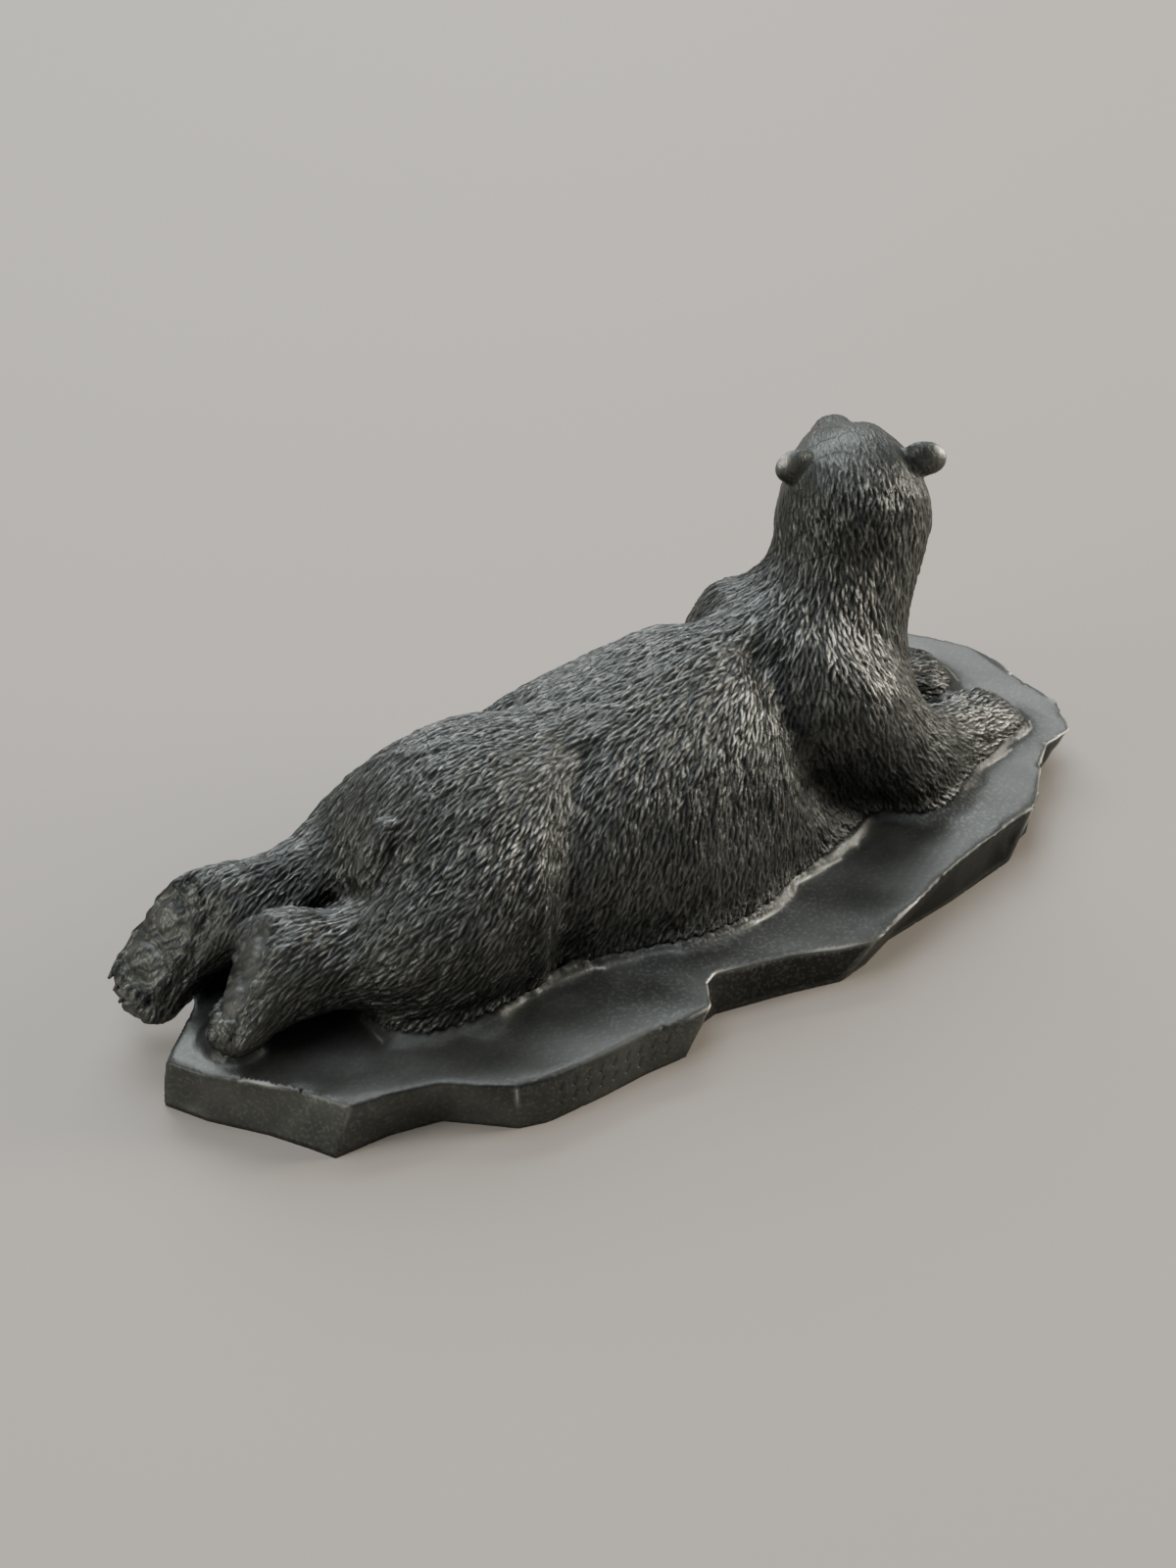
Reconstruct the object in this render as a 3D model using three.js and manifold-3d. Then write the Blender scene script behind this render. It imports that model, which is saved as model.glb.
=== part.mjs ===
// Polar bear stretched out on an ice floe, cast with the floe as one piece of dark metal.
// Millimetres, +Z up. The bear's spine runs along X with the head at +X, its left side is +Y,
// and the origin is the centre of the underside that the casting rests on.
import * as THREE from "three";
import { mergeVertices } from "three/addons/utils/BufferGeometryUtils.js";
import Module from "manifold-3d";

// Driving dimensions
const FLOE_TOP = 8.2; // height of the ice above the table
const FLOE_SWELL = 0.7; // rise and fall of the ice surface
const SNOW_FILLET = 2.6; // radius that melts the fur into the ice
const HEAD_TURN = 60; // degrees that the head looks to its left
const NOSE_UP = 1; // degrees that the muzzle lifts
const FINE_CELL = 2.35; // sampling step round the paws and the head
const BODY_CELL = 3.8; // sampling step along the trunk
const TOP_OF_SPACE = 80; // above everything

const degrees = THREE.MathUtils.degToRad;
const point = (x, y, z) => new THREE.Vector3(x, y, z);

// Rounded forms: each is a function that gives the distance of a point from its surface

// A bone with flesh round it, thicker at one end
function limb(from, to, thickFrom, thickTo) {
  const along = to.clone().sub(from);
  const length2 = along.lengthSq();
  return (x, y, z) => {
    const px = x - from.x;
    const py = y - from.y;
    const pz = z - from.z;
    const t = Math.min(1, Math.max(0, (px * along.x + py * along.y + pz * along.z) / length2));
    const away = Math.hypot(px - t * along.x, py - t * along.y, pz - t * along.z);
    return away - (thickFrom + t * (thickTo - thickFrom));
  };
}

// A muscle or a mass of fat: half sizes along its own axes, which are forward, left and up when no axes are given
function mass(centre, half, axes = [point(1, 0, 0), point(0, 1, 0), point(0, 0, 1)]) {
  const [f, l, u] = axes;
  return (x, y, z) => {
    const px = x - centre.x;
    const py = y - centre.y;
    const pz = z - centre.z;
    const a = (px * f.x + py * f.y + pz * f.z) / half.x;
    const b = (px * l.x + py * l.y + pz * l.z) / half.y;
    const c = (px * u.x + py * u.y + pz * u.z) / half.z;
    const reach = Math.hypot(a, b, c);
    const slope = Math.hypot(a / half.x, b / half.y, c / half.z);
    return slope < 1e-9 ? -Math.min(half.x, half.y, half.z) : (reach * (reach - 1)) / slope;
  };
}

// Two forms run into each other over a soft distance, or one is cut by the other with a soft edge
const softMin = (a, b, soft) => Math.min(a, b) - Math.max(soft - Math.abs(a - b), 0) ** 2 / (4 * soft);
const softMax = (a, b, soft) => -softMin(-a, -b, soft);
const joined = (soft, ...forms) => (x, y, z) =>
  forms.map((form) => form(x, y, z)).reduce((a, b) => softMin(a, b, soft));

// Axes of a form that is turned about Z and then tilted nose up
function facing(turn, tilt) {
  const spin = new THREE.Euler(0, -degrees(tilt), degrees(turn), "ZYX");
  return [point(1, 0, 0), point(0, 1, 0), point(0, 0, 1)].map((axis) => axis.applyEuler(spin));
}

// Trunk
const trunk = joined(
  8,
  mass(point(-30, 0, 18.5), point(20, 20, 22)),
  mass(point(-4, 0, 15.5), point(30, 24.5, 24)),
  mass(point(4, 0, 11), point(19.5, 24.8, 14)),
  mass(point(14, 0, 18), point(22, 20, 24)),
  mass(point(25, 0, 8), point(16, 20.5, 8.5)),
  mass(point(33, 0, 26), point(16, 16.5, 18)),
  mass(point(43, 0, 20), point(9, 12.5, 14)),
);

// Neck and head
const SKULL = point(46.4, 2.9, 55.5);
const headAxes = facing(HEAD_TURN, NOSE_UP);
const inHead = (forward, left, up) =>
  SKULL.clone()
    .addScaledVector(headAxes[0], forward)
    .addScaledVector(headAxes[1], left)
    .addScaledVector(headAxes[2], up);
const neck = limb(point(38, 0, 32), point(45.4, 0, 49), 13, 11);
const skull = joined(
  4,
  mass(SKULL, point(12.5, 10.8, 9.4), headAxes),
  limb(inHead(7, 0, -1), inHead(19, 0, -1.5), 6.5, 4.3),
  limb(inHead(3, 0, -5), inHead(16, 0, -5), 6.6, 3.6),
  limb(inHead(-2, 5.3, -3.6), inHead(4, 4.6, -5.5), 5.6, 4.6),
  limb(inHead(-2, -4.7, -3.6), inHead(4, -4.2, -5.5), 5.6, 4.6),
);
function ear(side) {
  const ball = new THREE.SphereGeometry(1, 12, 9).scale(2.1, 3.6, 3.2);
  ball.applyMatrix4(new THREE.Matrix4().makeRotationZ(degrees(HEAD_TURN + side * 14)));
  const root = inHead(-2, side * 10 - 0.7, 5.5);
  return ball.translate(root.x, root.y, root.z);
}

// Hind legs, stretched out behind with the soles up. Wide is half the width of the sole
function hindLeg({ hip, hock, heel, toe, sole, wide }) {
  const down = toe.clone().sub(heel).normalize();
  const face = sole.clone().addScaledVector(down, -sole.dot(down)).normalize();
  const across = down.clone().cross(face);
  const length = toe.distanceTo(heel);
  const onSole = (along, aside, out) =>
    heel.clone().addScaledVector(down, along * length).addScaledVector(across, aside).addScaledVector(face, out);
  const foot = joined(
    4,
    limb(onSole(0.26, 0, -5), onSole(0.3, 0, -5), 6, 6),
    mass(onSole(0.62, 0, -2.6), point(length * 0.44, wide, 5.6), [down, across, face]),
  );
  const step = wide * 0.36;
  const toes = [-2, -1, 0, 1, 2].map((k) =>
    limb(onSole(0.72, k * step, -3.4), onSole(0.98 - Math.abs(k) * 0.03, k * step, -2.2), 2.4, 2),
  );
  const shank = limb(hip, hock, 7.4, 6.6);
  const ankle = limb(hock, onSole(0.3, 0, -5), 6.6, 6.6);
  return (x, y, z) => {
    const flesh = softMin(foot(x, y, z), softMin(shank(x, y, z), ankle(x, y, z), 3), 3);
    const toed = toes.map((t) => t(x, y, z)).reduce((a, b) => softMin(a, b, 0.8), Infinity);
    const height = (x - heel.x) * face.x + (y - heel.y) * face.y + (z - heel.z) * face.z;
    return softMax(softMin(flesh, toed, 1.2), height, 1.5);
  };
}
const rightHind = joined(
  4,
  mass(point(-38, -11.5, 17), point(17.5, 11, 14), facing(6, 0)),
  hindLeg({
    hip: point(-50, -8, 17),
    hock: point(-62, -5, 17.5),
    heel: point(-62.5, -1.5, 27),
    toe: point(-76, -5, 12),
    sole: point(-0.76, 0.28, 0.5),
    wide: 6.8,
  }),
);
const leftHind = joined(
  4,
  mass(point(-36, 11, 16.5), point(16.5, 10.5, 13.5), facing(-6, 0)),
  hindLeg({
    hip: point(-50, 9.5, 18),
    hock: point(-64, 11, 18),
    heel: point(-66, 11.8, 25.6),
    toe: point(-81.6, 13.9, 7.6),
    sole: point(-0.83, -0.25, 0.5),
    wide: 6.6,
  }),
);

// Tail, a short flat strip that hangs between the buttocks
function tail() {
  const strip = new THREE.SphereGeometry(1, 12, 10).scale(6.6, 2.9, 2.2);
  strip.applyMatrix4(new THREE.Matrix4().makeRotationY(degrees(-60)));
  strip.applyMatrix4(new THREE.Matrix4().makeRotationZ(degrees(14)));
  return strip.translate(-47.2, -3.6, 29.6);
}

// Forelegs, folded at the elbow with the paws in front of the chest
function foreLeg({ shoulder, elbow, wrist, paw }) {
  const reach = paw.clone().sub(wrist);
  const turn = THREE.MathUtils.radToDeg(Math.atan2(reach.y, reach.x));
  const axes = facing(turn, 0);
  const toes = [-1.5, -0.5, 0.5, 1.5].map((k) => {
    const root = paw.clone().addScaledVector(axes[0], 2).addScaledVector(axes[1], k * 3);
    const tip = root.clone().addScaledVector(axes[0], 4.6 - Math.abs(k));
    return limb(root, tip.setZ(tip.z - 0.8), 2.6, 2.1);
  });
  return joined(
    3,
    limb(shoulder, elbow, 10.5, 8),
    limb(elbow, wrist, 7.5, 5.8),
    joined(1.2, mass(paw, point(7.6, 6.3, 4.2), axes), ...toes),
  );
}
const rightFore = foreLeg({
  shoulder: point(33, -11, 27),
  elbow: point(45, -14.8, 14),
  wrist: point(58.5, -11.8, 11.5),
  paw: point(65.4, -9.4, 10.3),
});
const leftFore = foreLeg({
  shoulder: point(33, 11, 27),
  elbow: point(43, 15, 14),
  wrist: point(57.5, 11, 11.5),
  paw: point(64.5, 8.2, 10.4),
});

// The whole animal. Each limb runs into the trunk, and not into its neighbour
function bear(x, y, z) {
  const body = softMin(trunk(x, y, z), neck(x, y, z), 5);
  const headed = softMin(body, skull(x, y, z), 4);
  const front = softMin(rightFore(x, y, z), leftFore(x, y, z), 1.5);
  const rear = softMin(rightHind(x, y, z), leftHind(x, y, z), 1.5);
  return Math.min(softMin(headed, front, 4), softMin(headed, rear, 4));
}

// Ice floe: corners of its top edge, how far the broken wall below each one is cut under it, and on a corner whose
// ridge leans, how far the ridge's foot lies along the wall
const FLOE_EDGE = [
  [-82.5, -1.4, -1.2],
  [-79.3, -7.3, -1],
  [-72.9, -14.4, -2],
  [-68.5, -20, -3],
  [-65.8, -25.2, -2.3, -2.4],
  [-60.9, -26.7, 0.8],
  [-53.7, -29.2, 1.4],
  [-49.6, -32.7, 1],
  [-45.3, -36.1, 0.4],
  [-41, -37.2, 0],
  [-32.3, -37.6, 0],
  [-24, -37.8, 0.3],
  [-17.3, -39, 1],
  [-13, -38.7, 3],
  [-10.1, -34, 0.6],
  [-8, -33.1, 0],
  [3.5, -36, 0],
  [11.7, -39.4, 0.8],
  [17.6, -41.2, 3.4],
  [25, -39, 3.6],
  [38.6, -35.2, 1],
  [52.7, -32.3, 0.2],
  [58.2, -31.5, 2.6],
  [61.2, -29.2, 1.4],
  [68.3, -22.5, 0.6],
  [72, -19.9, 2],
  [78.2, -19, 5],
  [81.4, -13.5, 3.6],
  [83, -10, 3],
  [82.2, -3.7, 2.4],
  [83, 1, 1.6],
  [85.4, 5, 2.6],
  [76.6, 20.8, 2.4],
  [69, 26.4, 1.6],
  [59, 28.6, 2],
  [51.5, 32.6, 1],
  [39, 34.2, 0.6],
  [28, 32.6, 1.4],
  [24, 36, 3],
  [11, 38.4, 1],
  [-3, 36.6, 0.6],
  [-15, 38, 1.6],
  [-19, 33.6, 0.8],
  [-32, 33, 0.6],
  [-41, 31.4, 2],
  [-50, 26, 1.2],
  [-57.4, 18.6, 0.8],
  [-66.4, 12.5, 0.4],
  [-75.8, 5, 0.2],
];

// Height of the ice surface: a slow swell, with shallow pans between low ridges
function iceHeight(x, y) {
  const swell = Math.sin(x / 17 + 1.4) * Math.cos(y / 15 - 0.5) + 0.5 * Math.sin(x / 7.5 - y / 11);
  return FLOE_TOP + FLOE_SWELL * 0.6 * swell;
}

// Closed surface through the zero of a distance function, sampled on a grid whose steps may change along X
function skinOf(distance, xs, ys, zs) {
  const at = (i, j, k) => (i * ys.length + j) * zs.length + k;
  const field = new Float64Array(xs.length * ys.length * zs.length);
  xs.forEach((x, i) => ys.forEach((y, j) => zs.forEach((z, k) => {
    field[at(i, j, k)] = distance(x, y, z);
  })));
  const corners = [0, 1].flatMap((a) => [0, 1].flatMap((b) => [0, 1].map((c) => [a, b, c])));
  const edges = corners.flatMap((p, m) =>
    corners.flatMap((q, n) => (n > m && Math.abs(p[0] - q[0]) + Math.abs(p[1] - q[1]) + Math.abs(p[2] - q[2]) === 1
      ? [[p, q]]
      : [])),
  );
  const vertexOf = new Map();
  const positions = [];
  for (let i = 0; i + 1 < xs.length; i++) {
    for (let j = 0; j + 1 < ys.length; j++) {
      for (let k = 0; k + 1 < zs.length; k++) {
        const crossings = [];
        for (const [p, q] of edges) {
          const a = field[at(i + p[0], j + p[1], k + p[2])];
          const b = field[at(i + q[0], j + q[1], k + q[2])];
          if (a < 0 === b < 0) continue;
          const t = a / (a - b);
          crossings.push([0, 1, 2].map((n) => p[n] + t * (q[n] - p[n])));
        }
        if (!crossings.length) continue;
        const mean = [0, 1, 2].map((n) => crossings.reduce((s, c) => s + c[n], 0) / crossings.length);
        vertexOf.set(at(i, j, k), positions.length / 3);
        positions.push(
          xs[i] + mean[0] * (xs[i + 1] - xs[i]),
          ys[j] + mean[1] * (ys[j + 1] - ys[j]),
          zs[k] + mean[2] * (zs[k + 1] - zs[k]),
        );
      }
    }
  }
  const index = [];
  const apart = (a, b) =>
    Math.hypot(...[0, 1, 2].map((n) => positions[3 * a + n] - positions[3 * b + n]));
  function quad(a, b, c, d, flip) {
    const [p, q, r, s] = [a, b, c, d].map((cell) => vertexOf.get(cell));
    const faces = apart(p, r) < apart(q, s) ? [[p, q, r], [p, r, s]] : [[p, q, s], [q, r, s]];
    faces.forEach((face) => index.push(...(flip ? face.reverse() : face)));
  }
  for (let i = 1; i + 1 < xs.length; i++) {
    for (let j = 1; j + 1 < ys.length; j++) {
      for (let k = 1; k + 1 < zs.length; k++) {
        const inside = field[at(i, j, k)] < 0;
        if (inside !== field[at(i + 1, j, k)] < 0) {
          quad(at(i, j - 1, k - 1), at(i, j, k - 1), at(i, j, k), at(i, j - 1, k), !inside);
        }
        if (inside !== field[at(i, j + 1, k)] < 0) {
          quad(at(i - 1, j, k - 1), at(i - 1, j, k), at(i, j, k), at(i, j, k - 1), !inside);
        }
        if (inside !== field[at(i, j, k + 1)] < 0) {
          quad(at(i - 1, j - 1, k), at(i, j - 1, k), at(i, j, k), at(i - 1, j, k), !inside);
        }
      }
    }
  }
  const geometry = new THREE.BufferGeometry();
  geometry.setAttribute("position", new THREE.Float32BufferAttribute(positions, 3));
  geometry.setIndex(index);
  return geometry;
}

// Grid lines from one place to the next, with a step for each stretch
function gridLines(start, ...stretches) {
  const lines = [start];
  for (const [end, step] of stretches) {
    const from = lines[lines.length - 1];
    const count = Math.max(1, Math.round((end - from) / step));
    for (let n = 1; n <= count; n++) lines.push(from + ((end - from) * n) / count);
  }
  return lines;
}

// Walls of the floe: a prism through all heights, with the foot of each wall set in under its edge
function floeWalls() {
  const edge = FLOE_EDGE.map(([x, y]) => new THREE.Vector2(x, y));
  const foot = edge.map((corner, n) => {
    const [, , inset, slide = 0] = FLOE_EDGE[n];
    const before = edge[(n + edge.length - 1) % edge.length];
    const after = edge[(n + 1) % edge.length];
    const run = after.clone().sub(before).normalize();
    const inward = new THREE.Vector2(-run.y, run.x);
    return corner.clone().addScaledVector(inward, inset).addScaledVector(run, slide);
  });
  const rings = [
    [foot, 0],
    [edge, FLOE_TOP],
    [edge, TOP_OF_SPACE],
  ];
  const positions = rings.flatMap(([ring, z]) => ring.flatMap((corner) => [corner.x, corner.y, z]));
  const count = edge.length;
  const index = [];
  for (let level = 0; level + 1 < rings.length; level++) {
    for (let n = 0; n < count; n++) {
      const a = level * count + n;
      const b = level * count + ((n + 1) % count);
      index.push(a, b, b + count, a, b + count, a + count);
    }
  }
  THREE.ShapeUtils.triangulateShape(foot, []).forEach(([a, b, c]) => index.push(c, b, a));
  const lid = (rings.length - 1) * count;
  THREE.ShapeUtils.triangulateShape(edge, []).forEach(([a, b, c]) => index.push(lid + a, lid + b, lid + c));
  const geometry = new THREE.BufferGeometry();
  geometry.setAttribute("position", new THREE.Float32BufferAttribute(positions, 3));
  geometry.setIndex(index);
  return geometry;
}

const wasm = await Module();
wasm.setup();

function solid(geometry) {
  const bare = new THREE.BufferGeometry();
  bare.setAttribute("position", geometry.getAttribute("position"));
  bare.setIndex(geometry.index);
  const merged = mergeVertices(bare, 1e-4);
  return new wasm.Manifold(
    new wasm.Mesh({
      numProp: 3,
      vertProperties: merged.attributes.position.array,
      triVerts: new Uint32Array(merged.index.array),
    }),
  );
}

function geometryOf(body) {
  const { vertProperties, triVerts, numProp } = body.getMesh();
  const count = vertProperties.length / numProp;
  const positions = new Float32Array(count * 3);
  for (let n = 0; n < count; n++) {
    positions.set(vertProperties.subarray(n * numProp, n * numProp + 3), n * 3);
  }
  const geometry = new THREE.BufferGeometry();
  geometry.setAttribute("position", new THREE.BufferAttribute(positions, 3));
  geometry.setIndex(new THREE.BufferAttribute(triVerts, 1));
  geometry.computeVertexNormals();
  return geometry;
}

// The bear melted into the ice, cut to the floe's walls, and the hind leg that hangs past them
const BELOW = -3;
const EDGE_OF_SPACE = 3;
const xs = gridLines(-94, [-56, FINE_CELL], [30, BODY_CELL], [88, FINE_CELL]);
const ys = gridLines(-48, [-24, 3.7], [20, 2.6], [48, 3.8]);
const zs = gridLines(-8, [6, 3], [TOP_OF_SPACE - 8, 2.4]);
const inSpace = (x, y, z) =>
  Math.max(xs[0] + EDGE_OF_SPACE - x, x - xs[xs.length - 1] + EDGE_OF_SPACE, Math.abs(y) - 44, BELOW - z);
const landscape = skinOf(
  (x, y, z) => Math.max(softMin(bear(x, y, z), z - iceHeight(x, y), SNOW_FILLET), inSpace(x, y, z)),
  xs, ys, zs,
);
const HANGING_FROM = -58;
const SEAM = 0.25; // the hanging leg is this much fuller, so that the two skins never lie in one place
const hangingLeg = skinOf((x, y, z) => Math.max(bear(x, y, z) - SEAM, x - HANGING_FROM, 2.4 - y), xs, ys, zs);
const casting = solid(landscape)
  .intersect(solid(floeWalls()))
  .add(solid(hangingLeg))
  .add(solid(tail()))
  .add(solid(ear(1)))
  .add(solid(ear(-1)));

const patinatedMetal = new THREE.MeshStandardMaterial({ color: 0x3b3e3f, roughness: 0.5, metalness: 0.75 });
const bearOnFloe = new THREE.Mesh(geometryOf(casting), patinatedMetal);

// The origin goes to the middle of the underside
const bounds = new THREE.Box3().setFromBufferAttribute(bearOnFloe.geometry.getAttribute("position"));
const middle = bounds.getCenter(new THREE.Vector3());
bearOnFloe.geometry.translate(-middle.x, -middle.y, -bounds.min.z);
bearOnFloe.name = "bear_on_ice_floe";
const model = new THREE.Group();
model.add(bearOnFloe);
export default model;
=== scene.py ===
# %% [markdown]
# A small cast-metal polar bear, stretched out on an ice floe with its head turned away.
# The bear and the floe are one casting in dark patinated white metal, 168 mm long, which is a
# guess. Everything here is in the row's frame: +X is the bear's head end, +Y is its left and +Z is
# up. The sizes of the sculpture are written in millimetres, because that is how a modeller's tools
# are sized, and MM turns them to metres.

import math

import bmesh
import bpy
import numpy as np
from mathutils import Matrix, Vector, kdtree


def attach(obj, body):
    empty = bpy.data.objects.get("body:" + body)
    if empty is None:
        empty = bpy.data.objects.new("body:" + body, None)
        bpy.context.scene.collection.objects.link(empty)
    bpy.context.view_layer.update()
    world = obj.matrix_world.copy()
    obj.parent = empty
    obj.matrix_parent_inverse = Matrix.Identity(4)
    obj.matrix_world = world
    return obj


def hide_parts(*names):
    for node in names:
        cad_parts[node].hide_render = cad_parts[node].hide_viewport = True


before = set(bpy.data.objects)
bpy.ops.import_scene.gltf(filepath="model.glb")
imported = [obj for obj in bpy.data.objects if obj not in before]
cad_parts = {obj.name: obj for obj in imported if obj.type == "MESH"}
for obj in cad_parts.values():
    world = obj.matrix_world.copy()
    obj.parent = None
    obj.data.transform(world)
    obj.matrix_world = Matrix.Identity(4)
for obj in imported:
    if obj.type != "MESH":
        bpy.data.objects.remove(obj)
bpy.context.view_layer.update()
NODE = "bear_on_ice_floe"
MM = 0.001
rng = np.random.default_rng(7)


def vec(*xyz):
    """A place or direction as a numpy row."""
    return np.array(xyz, dtype=float)


def placed(name, data):
    """A new object in the scene, made from a mesh, a lamp or a camera."""
    thing = bpy.data.objects.new(name, data)
    bpy.context.collection.objects.link(thing)
    return thing


# %% [markdown]
# The camera looks over the bear's right hip and is turned a little, so that level lines climb to the right.
# Its lens, tilt and place were matched to the floe's outline. For a bear of this length, which is itself a
# guess, that puts it about 0.37 m off.
# The lens is worked out from the frame's long side, which is what Blender measures on an upright
# picture.

# %% Camera
CAMERA_PLACE = vec(-171.56, -241.58, 236.0)
LOOKS_AWAY = math.radians(34)  # from +Y towards +X
LOOKS_DOWN = math.radians(36)
ROLL = math.radians(1.85)
FOCAL_PIXELS = 2404
LONG_SIDE_PIXELS = 1600
SENSOR = 36.0  # mm
NEAREST_SEEN = 0.01  # m


def make_camera():
    data = bpy.data.cameras.new("camera")
    data.sensor_fit = "VERTICAL"
    data.sensor_height = SENSOR
    data.lens = FOCAL_PIXELS / LONG_SIDE_PIXELS * data.sensor_height
    data.clip_start = NEAREST_SEEN
    camera = placed("camera", data)
    stand = Matrix.Translation(Vector(CAMERA_PLACE * MM))
    turn = Matrix.Rotation(-LOOKS_AWAY, 4, "Z") @ Matrix.Rotation(math.pi / 2 - LOOKS_DOWN, 4, "X")
    camera.matrix_world = stand @ turn @ Matrix.Rotation(-ROLL, 4, "Z")
    bpy.context.scene.camera = camera
    return camera


camera = make_camera()
print("lens", round(camera.data.lens, 1), "mm")

# %% [markdown]
# A sculptor works over a rough form. Here the rough form is the solid itself: a copy is merged,
# its triangles are paired to squares, and a voxel remesh turns the lot into one even skin. The
# solid is skinned twice and each skin keeps only its own region. For the bear, Subdivision
# Surface rounds the facets away first. The ice stays flat and sharp, as the solid has it.

# %% Rough form from the solid
COAT_VOXEL = 0.42
ICE_VOXEL = 0.5
SAME_PLACE = 0.002  # vertices closer than this are one
ARRISES_BELOW = 8.35
ARRIS_BEND = math.radians(28)
PAIRING_BEND = math.radians(50)
BEAR_ABOVE = 9.4


def merged_copy(node):
    shape = bmesh.new()
    shape.from_mesh(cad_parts[node].data)
    bmesh.ops.remove_doubles(shape, verts=shape.verts, dist=SAME_PLACE * MM)
    return shape


def is_arris(edge):
    """True for a sharp edge of the floe."""
    on_floe = max(v.co.z for v in edge.verts) < ARRISES_BELOW * MM
    return on_floe and edge.calc_face_angle(0) > ARRIS_BEND


def relax(shape, verts, factor):
    """Draws vertices towards the middle of their neighbours."""
    bmesh.ops.smooth_vert(
        shape, verts=verts, factor=factor, use_axis_x=True, use_axis_y=True, use_axis_z=True
    )


def baked(thing):
    """The thing's mesh with its modifiers applied. The thing itself is taken away."""
    depsgraph = bpy.context.evaluated_depsgraph_get()
    mesh = bpy.data.meshes.new_from_object(thing.evaluated_get(depsgraph))
    bpy.data.objects.remove(thing)
    return mesh


def form_of(node, voxel, levels):
    """An even skin of a solid, with squares of the given size in mm."""
    shape = merged_copy(node)
    if levels:
        bmesh.ops.join_triangles(
            shape, faces=shape.faces, angle_face_threshold=PAIRING_BEND, angle_shape_threshold=PAIRING_BEND
        )
        relax(shape, [v for v in shape.verts if v.co.z > BEAR_ABOVE * MM], 0.35)
        crease = shape.edges.layers.float.new("crease_edge")
        for edge in shape.edges:
            edge[crease] = 1.0 if is_arris(edge) else 0.0
    mesh = bpy.data.meshes.new("form")
    shape.to_mesh(mesh)
    shape.free()
    thing = placed("form", mesh)
    round_off = thing.modifiers.new("round", "SUBSURF")
    round_off.levels = round_off.render_levels = levels
    even = thing.modifiers.new("even", "REMESH")
    even.mode = "VOXEL"
    even.voxel_size = voxel * MM
    return baked(thing)


def places(mesh):
    """Vertex places in mm."""
    out = np.empty(len(mesh.vertices) * 3)
    mesh.vertices.foreach_get("co", out)
    return out.reshape(-1, 3) / MM


def normals(mesh):
    out = np.empty(len(mesh.vertices) * 3)
    mesh.vertices.foreach_get("normal", out)
    return out.reshape(-1, 3)


def put(mesh, co):
    mesh.vertices.foreach_set("co", (co * MM).ravel())
    mesh.update()


coat_skin = form_of(NODE, COAT_VOXEL, 2)
ice_skin = form_of(NODE, ICE_VOXEL, 0)
print("coat skin", len(coat_skin.vertices), "ice skin", len(ice_skin.vertices))

# %% [markdown]
# The fur begins where the bear comes out of the ice, about 1 mm above the flat of the floe, and
# higher where the ice sweeps gently up to it. The left hind foot hangs past the end of the floe,
# where there is no ice to rise out of, so it is fur or sole all the way down. One number for each
# vertex says how far inside the fur it is, in mm: above 0 on the bear and below 0 on the ice.

# %% Where the fur is
FUR_LINE = 9.0
SWEEP = 1.0  # how much higher the fur begins on a level place
FLOE_END = (vec(-76.3, 6.3), vec(-66.9, 13.8))  # the floe's edge under the hanging foot
MIDLINE = 1.29  # the bear's own middle in Y


def smooth_step(low, high, x):
    """0 at low, 1 at high and a soft slope between, whichever of the two is the larger."""
    t = np.clip((x - low) / (high - low), 0, 1)
    return t * t * (3 - 2 * t)


def past_floe_end(co):
    """How far beyond the floe's end, in mm, for places near the hanging foot."""
    start, end = FLOE_END
    run = (end - start) / np.linalg.norm(end - start)
    out = vec(-run[1], run[0])
    beyond = (co[:, :2] - start) @ out
    return np.where((co[:, 0] < -63) & (co[:, 1] > 3.5), beyond, -9)


def into_fur(co, normal):
    ragged = 0.25 * np.sin(co[:, 0] * 2.9) * np.sin(co[:, 1] * 3.7 + co[:, 0])
    above = co[:, 2] + ragged - FUR_LINE - SWEEP * np.clip(normal[:, 2], 0, 1)
    return np.maximum(above, past_floe_end(co))


def skin_depth(mesh):
    return into_fur(places(mesh), normals(mesh))


print("bear share of the skin", round(float((skin_depth(coat_skin) > 0).mean()), 2))

# %% [markdown]
# A modeller's hand tools can be written as short functions on the vertices. One presses or
# raises a round patch, one runs a loop tool along a line of points, and both follow the surface's
# own normals. A bear is the same on both sides, so each mark can be made twice, mirrored in the
# bear's middle.

# %% Hand tools
class Clay:
    """A skin being worked: vertex places and normals in mm."""

    def __init__(self, mesh):
        self.mesh = mesh
        self.co = places(mesh)
        self.normal = normals(mesh)

    def settle(self):
        put(self.mesh, self.co)
        self.normal = normals(self.mesh)

    def press(self, centre, radius, amount, facing=None):
        """Raises, or with a negative amount sinks, a round patch."""
        away = np.linalg.norm(self.co - centre, axis=1) / radius
        near = away < 2.5
        push = amount * np.exp(-away[near] ** 2)
        if facing is not None:
            push *= smooth_step(0.0, 0.5, self.normal[near] @ facing)
        self.co[near] += self.normal[near] * push[:, None]

    def groove(self, path, width, depth):
        """Runs a round-ended tool along a line of points."""
        path = [vec(*p) for p in path]
        nearest = np.full(len(self.co), 1e9)
        for a, b in zip(path, path[1:]):
            run = b - a
            t = np.clip((self.co - a) @ run / (run @ run), 0, 1)
            nearest = np.minimum(nearest, np.linalg.norm(self.co - a - t[:, None] * run, axis=1))
        near = nearest < 2.5 * width
        self.co[near] -= self.normal[near] * (depth * np.exp(-(nearest[near] / width) ** 2))[:, None]


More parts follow.
